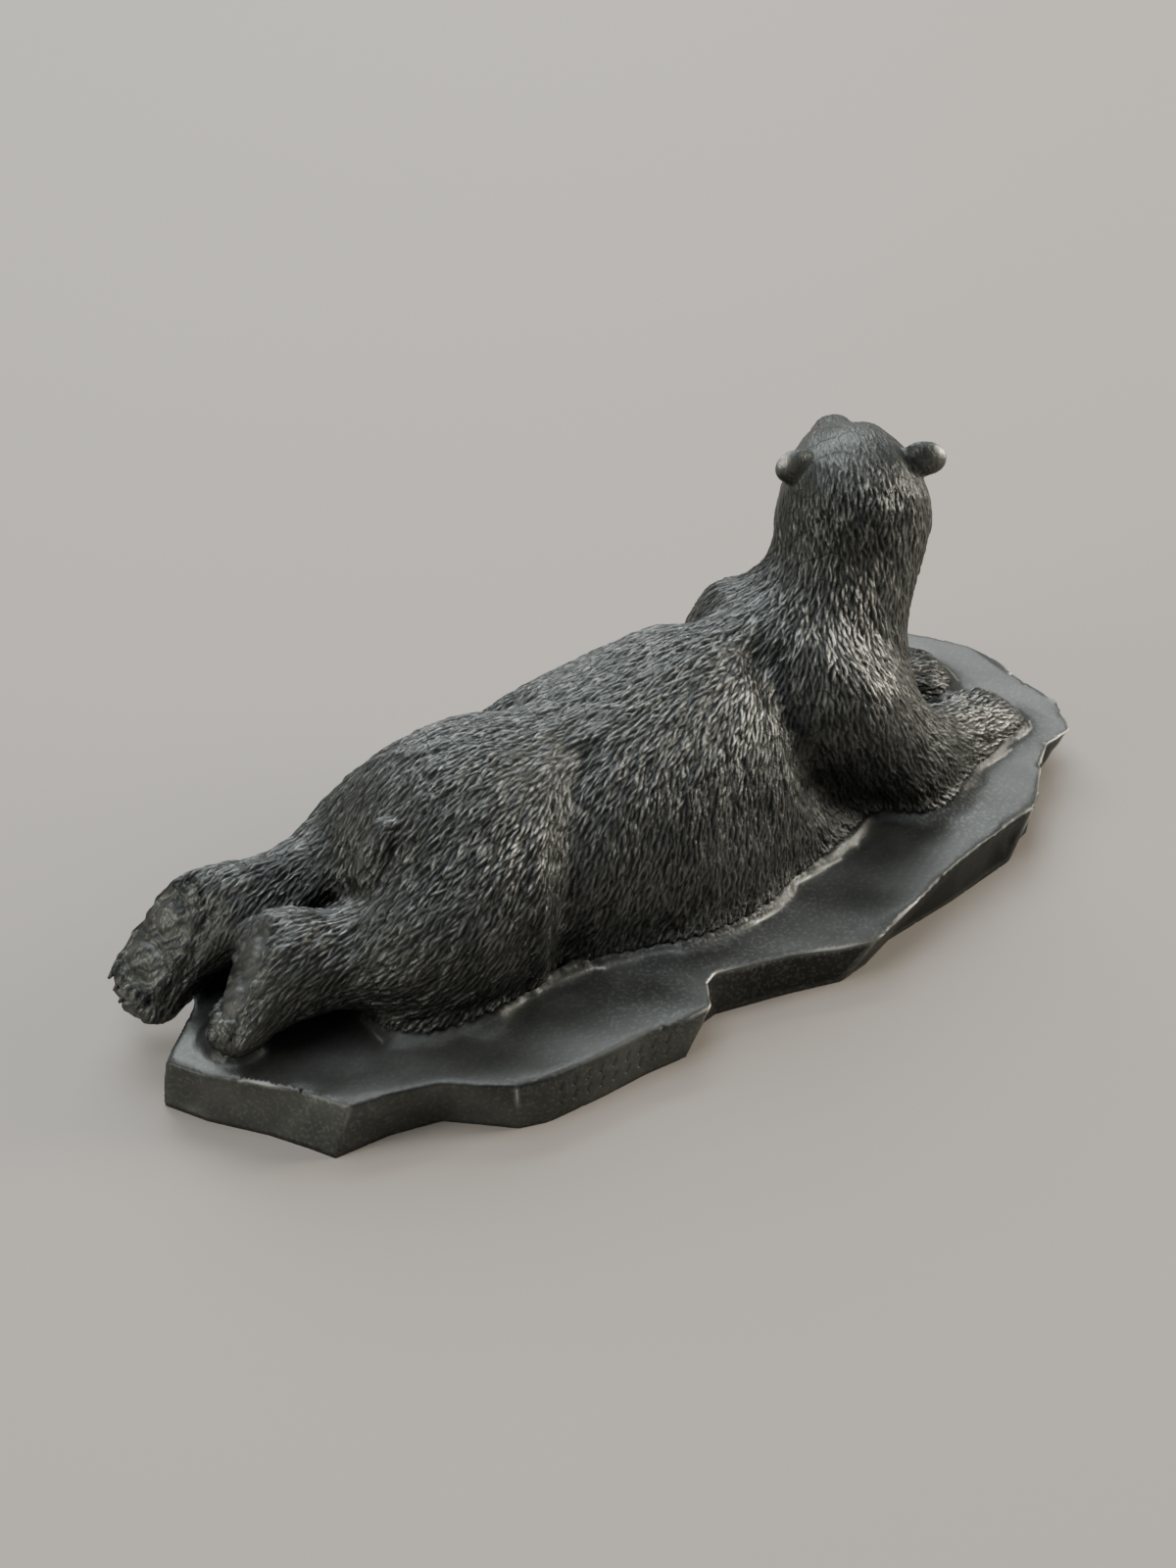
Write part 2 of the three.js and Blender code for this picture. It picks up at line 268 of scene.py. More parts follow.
def soft_spots(co, spots):
    """The strongest of some round patches, each given as centre, radius and amount."""
    total = np.zeros(len(co))
    for centre, radius, amount in spots:
        away = np.linalg.norm(co - vec(*centre), axis=1) / radius
        total = np.maximum(total, amount * np.exp(-away ** 2))
    return total


def mirrored(point):
    x, y, z = point
    return (x, 2 * MIDLINE - y, z)


def both_sides(path):
    return [path, [mirrored(p) for p in path]]


print("tools: press, groove")

# %% [markdown]
# The coat skin is cut free of the ice a little below the fur line, so that its edge is buried in the floe.
# Subdivision Surface then makes it fine enough for fur: a lock is made about 0.6 mm wide, a judged width,
# and a carved line needs three or four vertices across to show.

# %% Coat, cut free and refined
EDGE_BURIED = 1.1


def cut_free(mesh, marked):
    """Keeps the faces that touch a marked vertex."""
    shape = bmesh.new()
    shape.from_mesh(mesh)
    others = [face for face in shape.faces if not any(marked[v.index] for v in face.verts)]
    bmesh.ops.delete(shape, geom=others, context="FACES")
    shape.to_mesh(mesh)
    shape.free()


def refined(mesh, levels):
    thing = placed("fine", mesh)
    finer = thing.modifiers.new("finer", "SUBSURF")
    finer.levels = finer.render_levels = levels
    return baked(thing)


cut_free(coat_skin, skin_depth(coat_skin) > -EDGE_BURIED)
coat_mesh = refined(coat_skin, 1)
coat = Clay(coat_mesh)
coat_depth = into_fur(coat.co, coat.normal)
print("coat", len(coat_mesh.vertices), "vertices,", 2 * len(coat_mesh.polygons), "triangles")

# %% [markdown]
# The big forms come first, as on a clay model: the fold between haunch and belly, the hollow
# behind the shoulder, the shallow line of the spine, the short tail and the cleft beside it. The
# toes of the forepaws are parted by short grooves.

# %% Folds and hollows of the body
HAUNCH_FOLD = [
    (-15, -8, 37), (-20.4, -13.9, 32.3), (-23.6, -17.5, 27), (-25.8, -19.6, 20.4), (-26.5, -19.8, 10),
]
KNEE_RIDGE = [(-21, -9.5, 37.5), (-26, -15, 33.5), (-29.8, -19, 27), (-31, -21, 20), (-31, -21.5, 12)]
BEHIND_SHOULDER = [
    (19, -7, 39.5), (20, -14.7, 32.2), (20.2, -17, 27.1), (21.4, -18.2, 21.7), (26, -15.5, 15),
    (29.5, -13.2, 10.3),
]
SHOULDER_RIDGE = [(25.5, -8.5, 42), (28.5, -12, 38), (32, -16, 32.5), (33, -19.5, 26)]
SPINE = [(-42, MIDLINE, 36.5), (-20, MIDLINE, 38.5), (8, MIDLINE, 41.5)]
TAIL = [(-47.5, -1.4, 33), (-49.3, -1.6, 30), (-51.1, -0.8, 24.5)]
CLEFT = [(-46.3, 2, 32.5), (-49.4, 1.2, 28.5), (-51.6, 0.9, 23.5), (-53.6, 3, 20)]

FOLDS = (  # path, width and depth, where a negative depth raises a ridge
    (HAUNCH_FOLD, 3.4, 1.6), (KNEE_RIDGE, 2.4, -0.8),
    (BEHIND_SHOULDER, 3.3, 2.1), (SHOULDER_RIDGE, 2.4, -0.7),
)
MUSCLES = [(-38, -17.5, 23), (27.5, -13.4, 37), (40, -21, 14), (33, -17, 30)]
MUSCLE_RADII = (10, 6.5, 4, 8)
MUSCLE_HEIGHTS = (0.8, 0.9, 0.6, 0.5)
PAWS = (  # middle, and the way the paw points
    (vec(64.9, -8.1, 10.3), vec(0.94, 0.33, -0.1)),
    (vec(64.0, 9.5, 10.3), vec(0.92, -0.37, -0.1)),
)
PAW_TOE_WIDTH = 2.5
PAW_PROFILE = ((2.5, 4), (5, 3), (7.4, 0))  # ahead and up, over the back of the toes

for path, width, deep in FOLDS:
    for line in both_sides(path):
        coat.groove(line, width, deep)
coat.groove(SPINE, width=3.0, depth=0.35)
coat.groove(CLEFT, width=1.5, depth=0.8)
coat.groove(TAIL, width=2.4, depth=-0.25)
for side in both_sides(MUSCLES):
    for centre, radius, amount in zip(side, MUSCLE_RADII, MUSCLE_HEIGHTS):
        coat.press(vec(*centre), radius, amount)
for middle, ahead in PAWS:
    beside = vec(-ahead[1], ahead[0], 0)
    for step in (-1.5, -0.5, 0.5, 1.5):
        gap = step * PAW_TOE_WIDTH * beside
        line = [middle + run * ahead + gap + vec(0, 0, rise) for run, rise in PAW_PROFILE]
        coat.groove(line, width=0.5, depth=0.5)
coat.settle()
print("body worked")

# %% [markdown]
# The head is worked in its own directions: forward along the muzzle, to its left and up. A bear's
# face is a few simple marks: a step between brow and muzzle, small eyes set in shallow sockets, a
# nose pad with two nostrils, the line of the mouth, and ears hollowed in front.

# %% Head
SKULL = vec(45.9, 4.19, 55.5)
HEAD_TURN = math.radians(60)
NOSE_UP = math.radians(1)
HEAD_FORWARD = vec(
    math.cos(HEAD_TURN) * math.cos(NOSE_UP), math.sin(HEAD_TURN) * math.cos(NOSE_UP), math.sin(NOSE_UP)
)
HEAD_LEFT = vec(-math.sin(HEAD_TURN), math.cos(HEAD_TURN), 0)
HEAD_UP = np.cross(HEAD_FORWARD, HEAD_LEFT)


def on_head(forward, left, up):
    return SKULL + forward * HEAD_FORWARD + left * HEAD_LEFT + up * HEAD_UP


def head_places(co):
    """Places in the head's own directions."""
    return (co - SKULL) @ np.array([HEAD_FORWARD, HEAD_LEFT, HEAD_UP]).T


EYE = (11.3, 5.3, 2.9)
EARS = ((-1.6, 9.4, 6.2), (-1.6, -10.8, 6.2))
coat.press(on_head(12, 0, 6), 3.2, -0.5)
coat.press(on_head(18, 0, 3), 3.0, 0.3)
for side in (-1, 1):
    coat.press(on_head(8.6, side * 4.8, 5.6), 2.6, 0.5)
    coat.press(on_head(EYE[0], side * EYE[1], EYE[2]), 1.8, -0.9)
    coat.press(on_head(-1, side * 9.6, -4.5), 4.5, 0.6)
for forward, left, up in EARS:
    coat.press(on_head(forward + 1.6, left, up), 1.7, -1.3, HEAD_FORWARD)
coat.settle()
for side in (-1, 1):
    mouth = [
        on_head(24, 0, -3.4), on_head(21, side * 3.4, -3.8), on_head(15, side * 5.8, -4.2),
        on_head(10, side * 7.2, -3.2),
    ]
    coat.groove(mouth, width=0.5, depth=0.7)
coat.press(on_head(23.6, 0, 0.9), 1.9, 0.5, HEAD_FORWARD)
coat.settle()
for side in (-1, 1):
    coat.press(on_head(24.3, side * 1.25, 0.3), 0.6, -0.9)
coat.groove([on_head(24.6, 0, -0.6), on_head(24, 0, -3.4)], width=0.3, depth=0.4)
coat.settle()


def on_skin(place):
    """The coat's vertex nearest to a place, with its normal."""
    index = int(np.argmin(np.linalg.norm(coat.co - place, axis=1)))
    return coat.co[index], coat.normal[index]


EYES = [on_skin(on_head(EYE[0], side * EYE[1], EYE[2])) for side in (-1, 1)]
print("head worked, eyes at", [place.round(1).tolist() for place, _ in EYES])

# %% [markdown]
# The soles of the hind feet face the viewer. Each has a round heel pad, a broad pad behind the
# toes and a row of five toe pads, with a fringe of fur standing round them. The pads are raised
# and the line round each is sunk, in the sole's own directions.

# %% Soles
class Sole:
    def __init__(self, heel, toe, face, wide):
        self.heel = heel
        self.wide = wide
        self.length = np.linalg.norm(toe - heel)
        self.down = (toe - heel) / self.length
        face = face - (face @ self.down) * self.down
        self.face = face / np.linalg.norm(face)
        self.across = np.cross(self.down, self.face)

    def at(self, along, aside, out=0.0):
        """A place on the sole: along from heel 0 to toes 1, aside and out in mm."""
        return self.heel + along * self.length * self.down + aside * self.across + out * self.face

    def cover(self, co):
        """1 on the bare sole and 0 in the fur round it."""
        local = co - self.heel
        ring, _ = self.ring(local)
        return (1 - smooth_step(0.84, 0.98, ring)) * smooth_step(-1.6, -0.7, local @ self.face)

    def ring(self, local):
        """How far out towards the rim, 1 at the rim, and the angle round the sole."""
        along = (local @ self.down) / self.length - 0.56
        aside = local @ self.across
        return np.hypot(along / 0.5, aside / self.wide), np.arctan2(aside / self.wide, along / 0.5)


RIGHT_SOLE = Sole(vec(-63, 0.1, 26.9), vec(-76.5, -3.4, 11.9), vec(-0.76, 0.28, 0.5), 5.1)
LEFT_SOLE = Sole(vec(-66.7, 14.3, 25.8), vec(-82.3, 16.4, 7.8), vec(-0.83, -0.25, 0.5), 5.5)
SOLES = (RIGHT_SOLE, LEFT_SOLE)
TOES = (-2, -1, 0, 1, 2)
TOE_GAP = 1.95
# Each pad is given as its place along the sole, its place aside, and half its length and width.
HEEL_AND_BALL = ((0.37, 0.3, 2.9, 2.7), (0.69, 0, 2.7, 3.7))


def work_sole(sole):
    local = coat.co - sole.heel
    along = (local @ sole.down) / sole.length
    aside = local @ sole.across
    near = (np.abs(local @ sole.face) < 2.2) & (coat.normal @ sole.face > 0.3)
    raised = np.zeros(len(coat.co))
    toe_pads = [(0.93 - 0.03 * abs(toe), toe * TOE_GAP, 1.3, 0.95) for toe in TOES]
    for middle, offset, half_down, half_across in (*HEEL_AND_BALL, *toe_pads):
        ring = np.hypot((along - middle) * sole.length / half_down, (aside - offset) / half_across)
        raised += 0.5 * (1 - smooth_step(0.5, 1.0, ring)) - 0.2 * np.exp(-(((ring - 1.12) / 0.2) ** 2))
    rim, angle = sole.ring(local)
    tufts = 0.6 + 0.4 * np.sin(angle * 19 + np.sin(angle * 7))
    raised += 0.7 * tufts * np.exp(-(((rim - 0.97) / 0.11) ** 2))
    rough = np.sin(coat.co @ vec(3.1, 2.3, 1.9) + 2.5 * np.sin(coat.co @ vec(-1.7, 1.4, 1.1)))
    raised += 0.06 * rough * (rim < 0.95)
    coat.co[near] += sole.face * raised[near, None]


for sole in SOLES:
    work_sole(sole)
coat.settle()
print("soles worked")

# %% [markdown]
# The fur is a field of short locks, each a dab of clay drawn out to a point by a loop tool. The
# way they lie is a bear's: from the head back and down the neck, down the shoulders and flanks,
# back over the rump and along the legs to the feet. A few guide hairs say so, on both sides of
# the body, and every other lock lies as the guides near it do.

# %% The way the fur lies
GUIDE_REACH = 8.0
GUIDES = [
    ((-42, 1, 37), (-1, 0, -0.6)),
    ((-25, 1, 39), (-1, 0, 0)),
    ((0, 1, 41), (-1, -0.1, 0)),
    ((20, 1, 43), (-1, 0, -0.1)),
    ((32, -4, 47), (-0.9, -0.25, -0.6)),
    ((40, -9, 47), (0.3, -0.3, -1)),
    ((46, -9, 49), (0.35, 0, -1)),
    ((30, -11, 40), (0.1, -0.4, -1)),
    ((33, -17, 33), (0.3, -0.2, -1)),
    ((32, -20, 25), (0.2, 0, -1)),
    ((44, -18, 24), (0.15, -0.2, -1)),
    ((42, -21, 14), (0.5, 0, -0.9)),
    ((52, -17, 18), (1, 0.1, -0.55)),
    ((62, -13, 15), (1, 0.2, -0.25)),
    ((72, -9, 12), (1, 0.1, -0.7)),
    ((20, -13, 37), (-0.6, -0.3, -0.8)),
    ((5, -13, 37), (-0.8, -0.3, -0.6)),
    ((8, -21, 28), (-0.4, 0, -1)),
    ((-8, -20, 30), (-0.5, 0, -1)),
    ((0, -24, 14), (-0.3, 0, -1)),
    ((-18, -17, 28), (-0.4, 0, -1)),
    ((-22, -21, 14), (-0.5, 0, -1)),
    ((-28, -15, 34), (-0.8, -0.2, -0.6)),
    ((-36, -17, 28), (-0.75, 0, -0.7)),
    ((-32, -21, 18), (-0.7, 0, -0.8)),
    ((-42, -20, 15), (-0.9, 0, -0.6)),
    ((-47, -13, 27), (-0.9, 0, -0.5)),
    ((-56, -11, 20), (-1, 0, -0.1)),
    ((-62, -9, 24), (-0.7, 0.3, -0.5)),
    ((-70, -9, 14), (-0.8, 0, -0.8)),
    ((-48, -3, 30), (-0.4, 0, -1)),
]
HEAD_GUIDES = [
    ((20, 0, 3), (-1, 0, 0.3)),
    ((12, 0, 6), (-1, 0, 0.4)),
    ((3, 0, 9), (-1, 0, 0)),
    ((-7, 0, 8), (-0.8, 0, -0.8)),
    ((-12, 0, 0), (-0.2, 0, -1)),
    ((16, 5, -2), (-1, 0.1, -0.3)),
    ((8, 8, -1), (-1, 0.2, -0.5)),
    ((1, 10, -4), (-0.7, 0, -1)),
    ((-8, 9, 0), (-0.6, 0, -1)),
    ((8, 0, -10), (-1, 0, -0.3)),
]


def guide_hairs():
    roots = [vec(*p) for p, _ in GUIDES] + [vec(*mirrored(p)) for p, _ in GUIDES]
    lies = [vec(*d) for _, d in GUIDES] + [vec(d[0], -d[1], d[2]) for _, d in GUIDES]
    for (forward, left, up), (ahead, aside, rise) in HEAD_GUIDES:
        for side in (-1, 1):
            roots.append(on_head(forward, side * left, up))
            lies.append(ahead * HEAD_FORWARD + side * aside * HEAD_LEFT + rise * HEAD_UP)
    lies = np.array(lies)
    return np.array(roots), lies / np.linalg.norm(lies, axis=1)[:, None]


def lie_of_fur(co, normal):
    """The direction the fur lies in at each place, along the skin."""
    roots, lies = guide_hairs()
    total = np.zeros_like(co)
    for root, lie in zip(roots, lies):
        away = np.linalg.norm(co - root, axis=1)
        weight = np.exp(-0.5 * (away / GUIDE_REACH) ** 2) + 1e-3 / (1 + away) ** 2
        total += weight[:, None] * lie
    total -= (total * normal).sum(1)[:, None] * normal
    return total / (np.linalg.norm(total, axis=1)[:, None] + 1e-9)


print("guide hairs", len(guide_hairs()[0]))

# %% [markdown]
# Locks are sown evenly, never closer together than a set distance, as a sculptor spaces them by
# eye. Each vertex then asks the few locks around it how high they stand there, and takes the
# highest. A lock rises slowly from its root, is round across, and ends in a short steep point,
# so it lies over the next one as hair does. A first, larger layer gives the coat its clumps.

# %% Locks
def tree_of(co):
    """A search tree that finds the places near another place."""
    tree = kdtree.KDTree(len(co))
    for index, place in enumerate(co):
        tree.insert(place, index)
    tree.balance()
    return tree


class Locks:
    """One layer of locks on a skin."""

    def __init__(self, skin, spacing, length, width, wander):
        self.length, self.width = length, width
        self.seeds = self.sow(skin.co, spacing)
        count = len(self.seeds)
        self.root = skin.co[self.seeds]
        self.tree = tree_of(self.root)
        self.normal = skin.normal[self.seeds]
        lie = lie_of_fur(self.root, self.normal)
        across = np.cross(self.normal, lie)
        turn = np.radians(wander) * rng.normal(size=count)
        self.lie = np.cos(turn)[:, None] * lie + np.sin(turn)[:, None] * across
        self.across = np.cross(self.normal, self.lie)
        self.longer = rng.uniform(0.75, 1.3, count)
        self.wider = rng.uniform(0.75, 1.25, count)
        self.taller = rng.uniform(0.55, 1.2, count)
        self.curl = rng.normal(size=count) * 0.7

    def sow(self, co, spacing):
        """Vertices picked in a random order, none closer to another than the spacing."""
        tree = tree_of(co)
        taken = np.zeros(len(co), bool)
        seeds = []
        for index in rng.permutation(len(co)):
            if taken[index]:
                continue
            seeds.append(index)
            for _, other, _ in tree.find_range(co[index], spacing):
                taken[other] = True
        return np.array(seeds)

    def heights(self, co, neighbours):
        """How high the locks stand at each place, from 0 to about 1."""
        near = np.array([[found[1] for found in self.tree.find_n(place, neighbours)] for place in co])
        height = np.zeros(len(co))
        for column in near.T:
            step = co - self.root[column]
            along = (step * self.lie[column]).sum(1) / (self.length * self.longer[column])
            aside = (step * self.across[column]).sum(1) / (0.5 * self.width * self.wider[column])
            aside += self.curl[column] * (along + 0.5) ** 2
            slim = np.clip(1 - np.maximum(along, 0) * 1.4, 0.2, 1)
            dome = np.clip(1 - (aside / slim) ** 2, 0, 1)
            rise = smooth_step(-0.6, 0.1, along) * (1 - smooth_step(0.26, 0.52, along))
            height = np.maximum(height, self.taller[column] * dome ** 0.7 * rise)
        return height

    def strands(self, co):
        """Each place measured along and across the nearest lock, in mm, with a start of its own."""
        nearest = np.array([self.tree.find(place)[1] for place in co])
        step = co - self.root[nearest]
        along = (step * self.lie[nearest]).sum(1)
        aside = (step * self.across[nearest]).sum(1)
        return np.column_stack((along, aside, 7.0 * (nearest % 97)))


FUR_SPACING = 0.72
FUR_WIDTH = 0.62
clumps = Locks(coat, spacing=3.4, length=8.0, width=3.0, wander=6)
fur = Locks(coat, spacing=FUR_SPACING, length=2.8, width=FUR_WIDTH, wander=9)
print("clumps", len(clumps.seeds), "locks", len(fur.seeds))

# %% [markdown]
# The fur is cut to its full depth on the body and less deep on the face, the feet and the tail. It
# is almost gone on the ears, and missing on the soles, the nose and in the line where the coat
# goes into the ice. The skin is lowered by about half of the locks' height, so that the bear keeps
# its outline.

# %% Cutting the fur
CLUMP_HEIGHT = 0.34
LOCK_HEIGHT = 0.27
CLUMP_NEIGHBOURS = 6
LOCK_NEIGHBOURS = 12


def fur_depth(co):
    depth = np.ones(len(co))
    head = head_places(co)
    on_face = smooth_step(-13, 0, head[:, 0]) * smooth_step(-9, 1, head[:, 2])
    on_face *= np.linalg.norm(head, axis=1) < 30
    depth -= 0.7 * on_face
    depth *= 1 - np.exp(-((np.linalg.norm(co - on_head(24, 0, 0.5), axis=1) / 3.2) ** 4))
    for ear in EARS:
        depth *= 1 - 0.85 * soft_spots(co, [(on_head(*ear), 4.2, 1.0)])
    depth *= 1 - 0.55 * soft_spots(co, [(place, 2.4, 1.0) for place in TAIL])
    for sole in SOLES:
        depth *= 1 - sole.cover(co)
    feet = smooth_step(62, 72, np.abs(co[:, 0] + 1))
    depth *= 1 - 0.35 * feet
    return depth * smooth_step(-0.5, 0.4, coat_depth)


depth = fur_depth(coat.co)
clump_height = clumps.heights(coat.co, CLUMP_NEIGHBOURS)
lock_height = fur.heights(coat.co, LOCK_NEIGHBOURS)
relief = depth * (CLUMP_HEIGHT * (clump_height - 0.5) + LOCK_HEIGHT * (lock_height - 0.45))
coat.co += coat.normal * relief[:, None]
coat.settle()
print("mean lock height", round(float(lock_height.mean()), 2))

# %% [markdown]
# The floe is a slab of ice with a broken outline: a nearly level top, walls that lean inward
# towards the foot and arrises that are sharp but handled. Its skin is cut free above the fur line.
# A voxel skin steps along a slanting edge, so its vertices near an arris are drawn onto the
# arris itself, and the sweep up to the bear is smoothed by hand.

# %% Ice floe
cut_free(ice_skin, skin_depth(ice_skin) < EDGE_BURIED)
WELD = 0.3 * ICE_VOXEL


def box_of_faces(shape, low, high):
    """The faces whose middles lie in a box given in mm."""
    inside = []
    for face in shape.faces:
        middle = face.calc_center_median() / MM
        if all(a < m < b for a, m, b in zip(low, middle, high)):
            inside.append(face)
    return inside


def arris_lines(node):
    """The floe's sharp edges, each as its two ends in mm."""
    shape = merged_copy(node)
    sharp = [edge for edge in shape.edges if is_arris(edge)]
    ends = np.array([[tuple(v.co) for v in edge.verts] for edge in sharp]) / MM
    shape.free()
    return ends


def nearest_arris(lines, co):
    """The nearest place on the arrises, and how far off it is in mm."""
    off = np.full(len(co), 1e9)
    place = co.copy()
    for a, b in lines:
        run = b - a
        t = np.clip((co - a) @ run / (run @ run + 1e-9), 0, 1)
        on_line = a + t[:, None] * run
        away = np.linalg.norm(co - on_line, axis=1)
        closer = away < off
        off[closer] = away[closer]
        place[closer] = on_line[closer]
    return place, off


STROKE_WALL = ((-42, -40, 1.0), (-17, -33, 7.2))  # the lowest and the highest corner of its box
SWEEP_ABOVE = 8.15
ARRISES = arris_lines(NODE)
ice = Clay(ice_skin)
arris_place, arris_off = nearest_arris(ARRISES, ice.co)
drawn = smooth_step(1.0, 0.85, arris_off / ICE_VOXEL)
ice.co += (arris_place - ice.co) * drawn[:, None]
ice.settle()
shape = bmesh.new()
shape.from_mesh(ice_skin)
bmesh.ops.remove_doubles(shape, verts=shape.verts, dist=WELD * MM)
bmesh.ops.dissolve_degenerate(shape, edges=shape.edges, dist=0.1 * WELD * MM)
sweep = [v for v in shape.verts if v.co.z > SWEEP_ABOVE * MM]
for _ in range(5):
    relax(shape, sweep, 0.5)
for cuts in (1, 2):
    wall = box_of_faces(shape, *STROKE_WALL)
    edges = list({edge for face in wall for edge in face.edges})
    bmesh.ops.subdivide_edges(shape, edges=edges, cuts=cuts, use_grid_fill=True)
bmesh.ops.triangulate(shape, faces=[f for f in shape.faces if len(f.verts) > 4])
shape.to_mesh(ice_skin)
shape.free()
ice = Clay(ice_skin)
arris_off = nearest_arris(ARRISES, ice.co)[1]
print("ice", len(ice_skin.vertices), "vertices,", len(ARRISES), "arrises")

# %% [markdown]
# Two rows of short slanted strokes are cut into the near wall with a point. They are parallel and
# evenly spaced, so that they read as tool marks. The wall's squares are finer there, because a
# stroke is only about 0.4 mm wide.

# %% Strokes on the near wall
STROKE_ROWS = (5.5, 3.0)
STROKES = 9
FIRST_STROKE = -39
STROKE_GAP = 2.25


def on_wall(x, z):
    """The place on the near wall at this length and height."""
    facing = ice.normal[:, 1] < -0.5
    away = np.hypot(ice.co[:, 0] - x, ice.co[:, 2] - z) + np.where(facing, 0, 99)
    return vec(x, ice.co[np.argmin(away), 1], z)


for z in STROKE_ROWS:
    for count in range(STROKES):
        x = FIRST_STROKE + STROKE_GAP * count
        half = rng.uniform(0.5, 0.6)
        stroke = [on_wall(x - 0.4 * half, z - half), on_wall(x + 0.4 * half, z + half)]
        ice.groove(stroke, width=0.22, depth=0.3)
ice.settle()
print("strokes", STROKES * len(STROKE_ROWS))

# %% [markdown]
# The walls of the floe are scooped as with a rounded tool, and the arrises have small nicks. Both
# are spread at random. The top is not quite level either. At the fur line the two skins dive
# under each other by 0.6 mm, so that fur and ice meet in a line and not in a step.

# %% Scoops, nicks and unevenness
SCOOPS = 70
NICKS = 46
WAVE_HEIGHT = 0.13
DIVE = 0.6
flat_wall = ice.co.copy()
low, high = STROKE_WALL
beside_strokes = ((ice.co < vec(*low) - 2) | (ice.co > vec(*high) + 2)).any(1)
on_side = np.flatnonzero((np.abs(ice.normal[:, 2]) < 0.5) & (arris_off > 1.6) & beside_strokes)
for index in rng.choice(on_side, SCOOPS, replace=False):
    ice.press(flat_wall[index], rng.uniform(1.3, 2.8), -rng.uniform(0.1, 0.35))
ice.co = flat_wall + (ice.co - flat_wall) * smooth_step(0.2, 1.5, arris_off)[:, None]
arris = np.flatnonzero((arris_off < 0.2) & (ice.co[:, 2] > 4) & beside_strokes)
for index in rng.choice(arris, NICKS, replace=False):
    ice.press(ice.co[index], rng.uniform(0.5, 1.3), -rng.uniform(0.08, 0.28))
x, y, z = ice.co.T
wave = np.sin(0.21 * x + 0.6 * np.sin(0.17 * y)) * np.sin(0.26 * y + 0.09 * x)
wave += 0.5 * np.sin(0.5 * x + 0.43 * y)
top = (ice.normal[:, 2] > 0.6) & (z > 6)
ice.co[top, 2] += WAVE_HEIGHT * wave[top]
ice_depth = into_fur(ice.co, ice.normal)
ice.co -= ice.normal * (DIVE * smooth_step(-0.4, 0.5, ice_depth))[:, None]
ice.settle()
coat.co -= coat.normal * (DIVE * smooth_step(0.5, -0.4, coat_depth))[:, None]
coat.settle()
print("arris vertices", len(arris))

# %% [markdown]
# The finish needs to know some things about each place: how worn its patina is, with the painted highlight
# it gets, how deep it lies, which darkens its patina and gives it painted shade, how much dry white residue
# is left there, and on the fur, how the hairs run. They are worked out from the shape and kept on the mesh
# as attributes. A few round patches make places lighter or darker where the photograph is. The lighter ones
# are partly worn patina and partly painted highlight, and the darker ones partly pooled patina and partly
# painted shade; how much of each is a guess.

# %% What the finish needs to know
# Each patch is given as its centre, its radius and how strong it is.
RESIDUE = [
    ((4, -25, 9.5), 15, 0.8), ((-18, -27, 9.5), 9, 0.6), ((48, -21, 9.5), 9, 0.5), ((70, -8, 12), 8, 0.6),
]
# Lighter patches: worn patina and painted highlight.
HANDLED_AND_LIT = [
    ((40, -9.5, 46), 7, 1.0), ((34, -12, 41), 6, 1.0), ((46, -7, 50), 6, 1.0), ((35, -17, 33), 5, 0.6),
    ((62, -11, 14), 8, 0.8), ((12, -15, 37), 6, 0.5), ((-30, -17, 31), 5, 0.5),
]
# Darker patches: pooled patina and painted shade.
POOLED_AND_SHADED = [
    ((23, -18, 21), 6.5, 1.0), ((27, -17, 13), 7, 1.0), ((20, -15.5, 29), 4.5, 0.8),
    ((-4, -21, 26), 10, 0.45), ((-24, -18, 22), 3.5, 0.4), ((-58, 9, 24), 7, 0.8),
    ((-66, 4, 16), 7, 0.9), ((-52, -8, 9), 6, 0.8),
]
EAR_TIPS = [(on_head(-3.2, 11.8, 7.4), 2.0, 1.0), (on_head(-3.0, -13.3, 7.4), 2.2, 1.0)]


def keep(mesh, name, value):
    layer = mesh.attributes.new(name, "FLOAT", "POINT")
    layer.data.foreach_set("value", np.clip(value, 0, 1).astype(np.float32))


# Lighter on the lock tops: worn patina, with a painted highlight that is stronger on faces that look up and
# in the lighter patches.
upward = smooth_step(-0.1, 0.8, coat.normal[:, 2])
tops = (0.3 + 0.35 * upward) * lock_height * np.clip(depth + 0.15, 0, 1)
tops *= 1 + soft_spots(coat.co, HANDLED_AND_LIT)
bare_soles = np.maximum(RIGHT_SOLE.cover(coat.co), LEFT_SOLE.cover(coat.co))
bumps = 0.6 + 0.3 * np.sin(coat.co @ vec(1.3, 0.9, 0.6) + 2.5 * np.sin(coat.co @ vec(-0.5, 0.7, 0.9)))
tops = np.maximum(tops, 0.6 * bare_soles * bumps)
keep(coat_mesh, "worn_and_lit", np.maximum(tops, soft_spots(coat.co, EAR_TIPS)))
# Darker deep among the locks and in the darker patches: dark patina with painted shade.
keep(coat_mesh, "patina_and_shade", np.maximum(depth * (1 - lock_height), soft_spots(coat.co, POOLED_AND_SHADED)))
keep(coat_mesh, "residue", soft_spots(coat.co, RESIDUE) * np.exp(-((coat_depth / 3) ** 2)))
hair = coat_mesh.attributes.new("hair", "FLOAT_VECTOR", "POINT")
hair.data.foreach_set("vector", clumps.strands(coat.co).astype(np.float32).ravel())
x, y, z = ice.co.T
patchy = 0.65 + 0.25 * np.sin(0.31 * x + 2 * np.sin(0.23 * y)) + 0.4 * smooth_step(-10, 45, x)
bare = np.exp(-((arris_off / 0.5) ** 2)) * smooth_step(1.5, 6.5, z) * np.clip(patchy, 0, 1)
on_top = smooth_step(0.4, 0.9, ice.normal[:, 2])
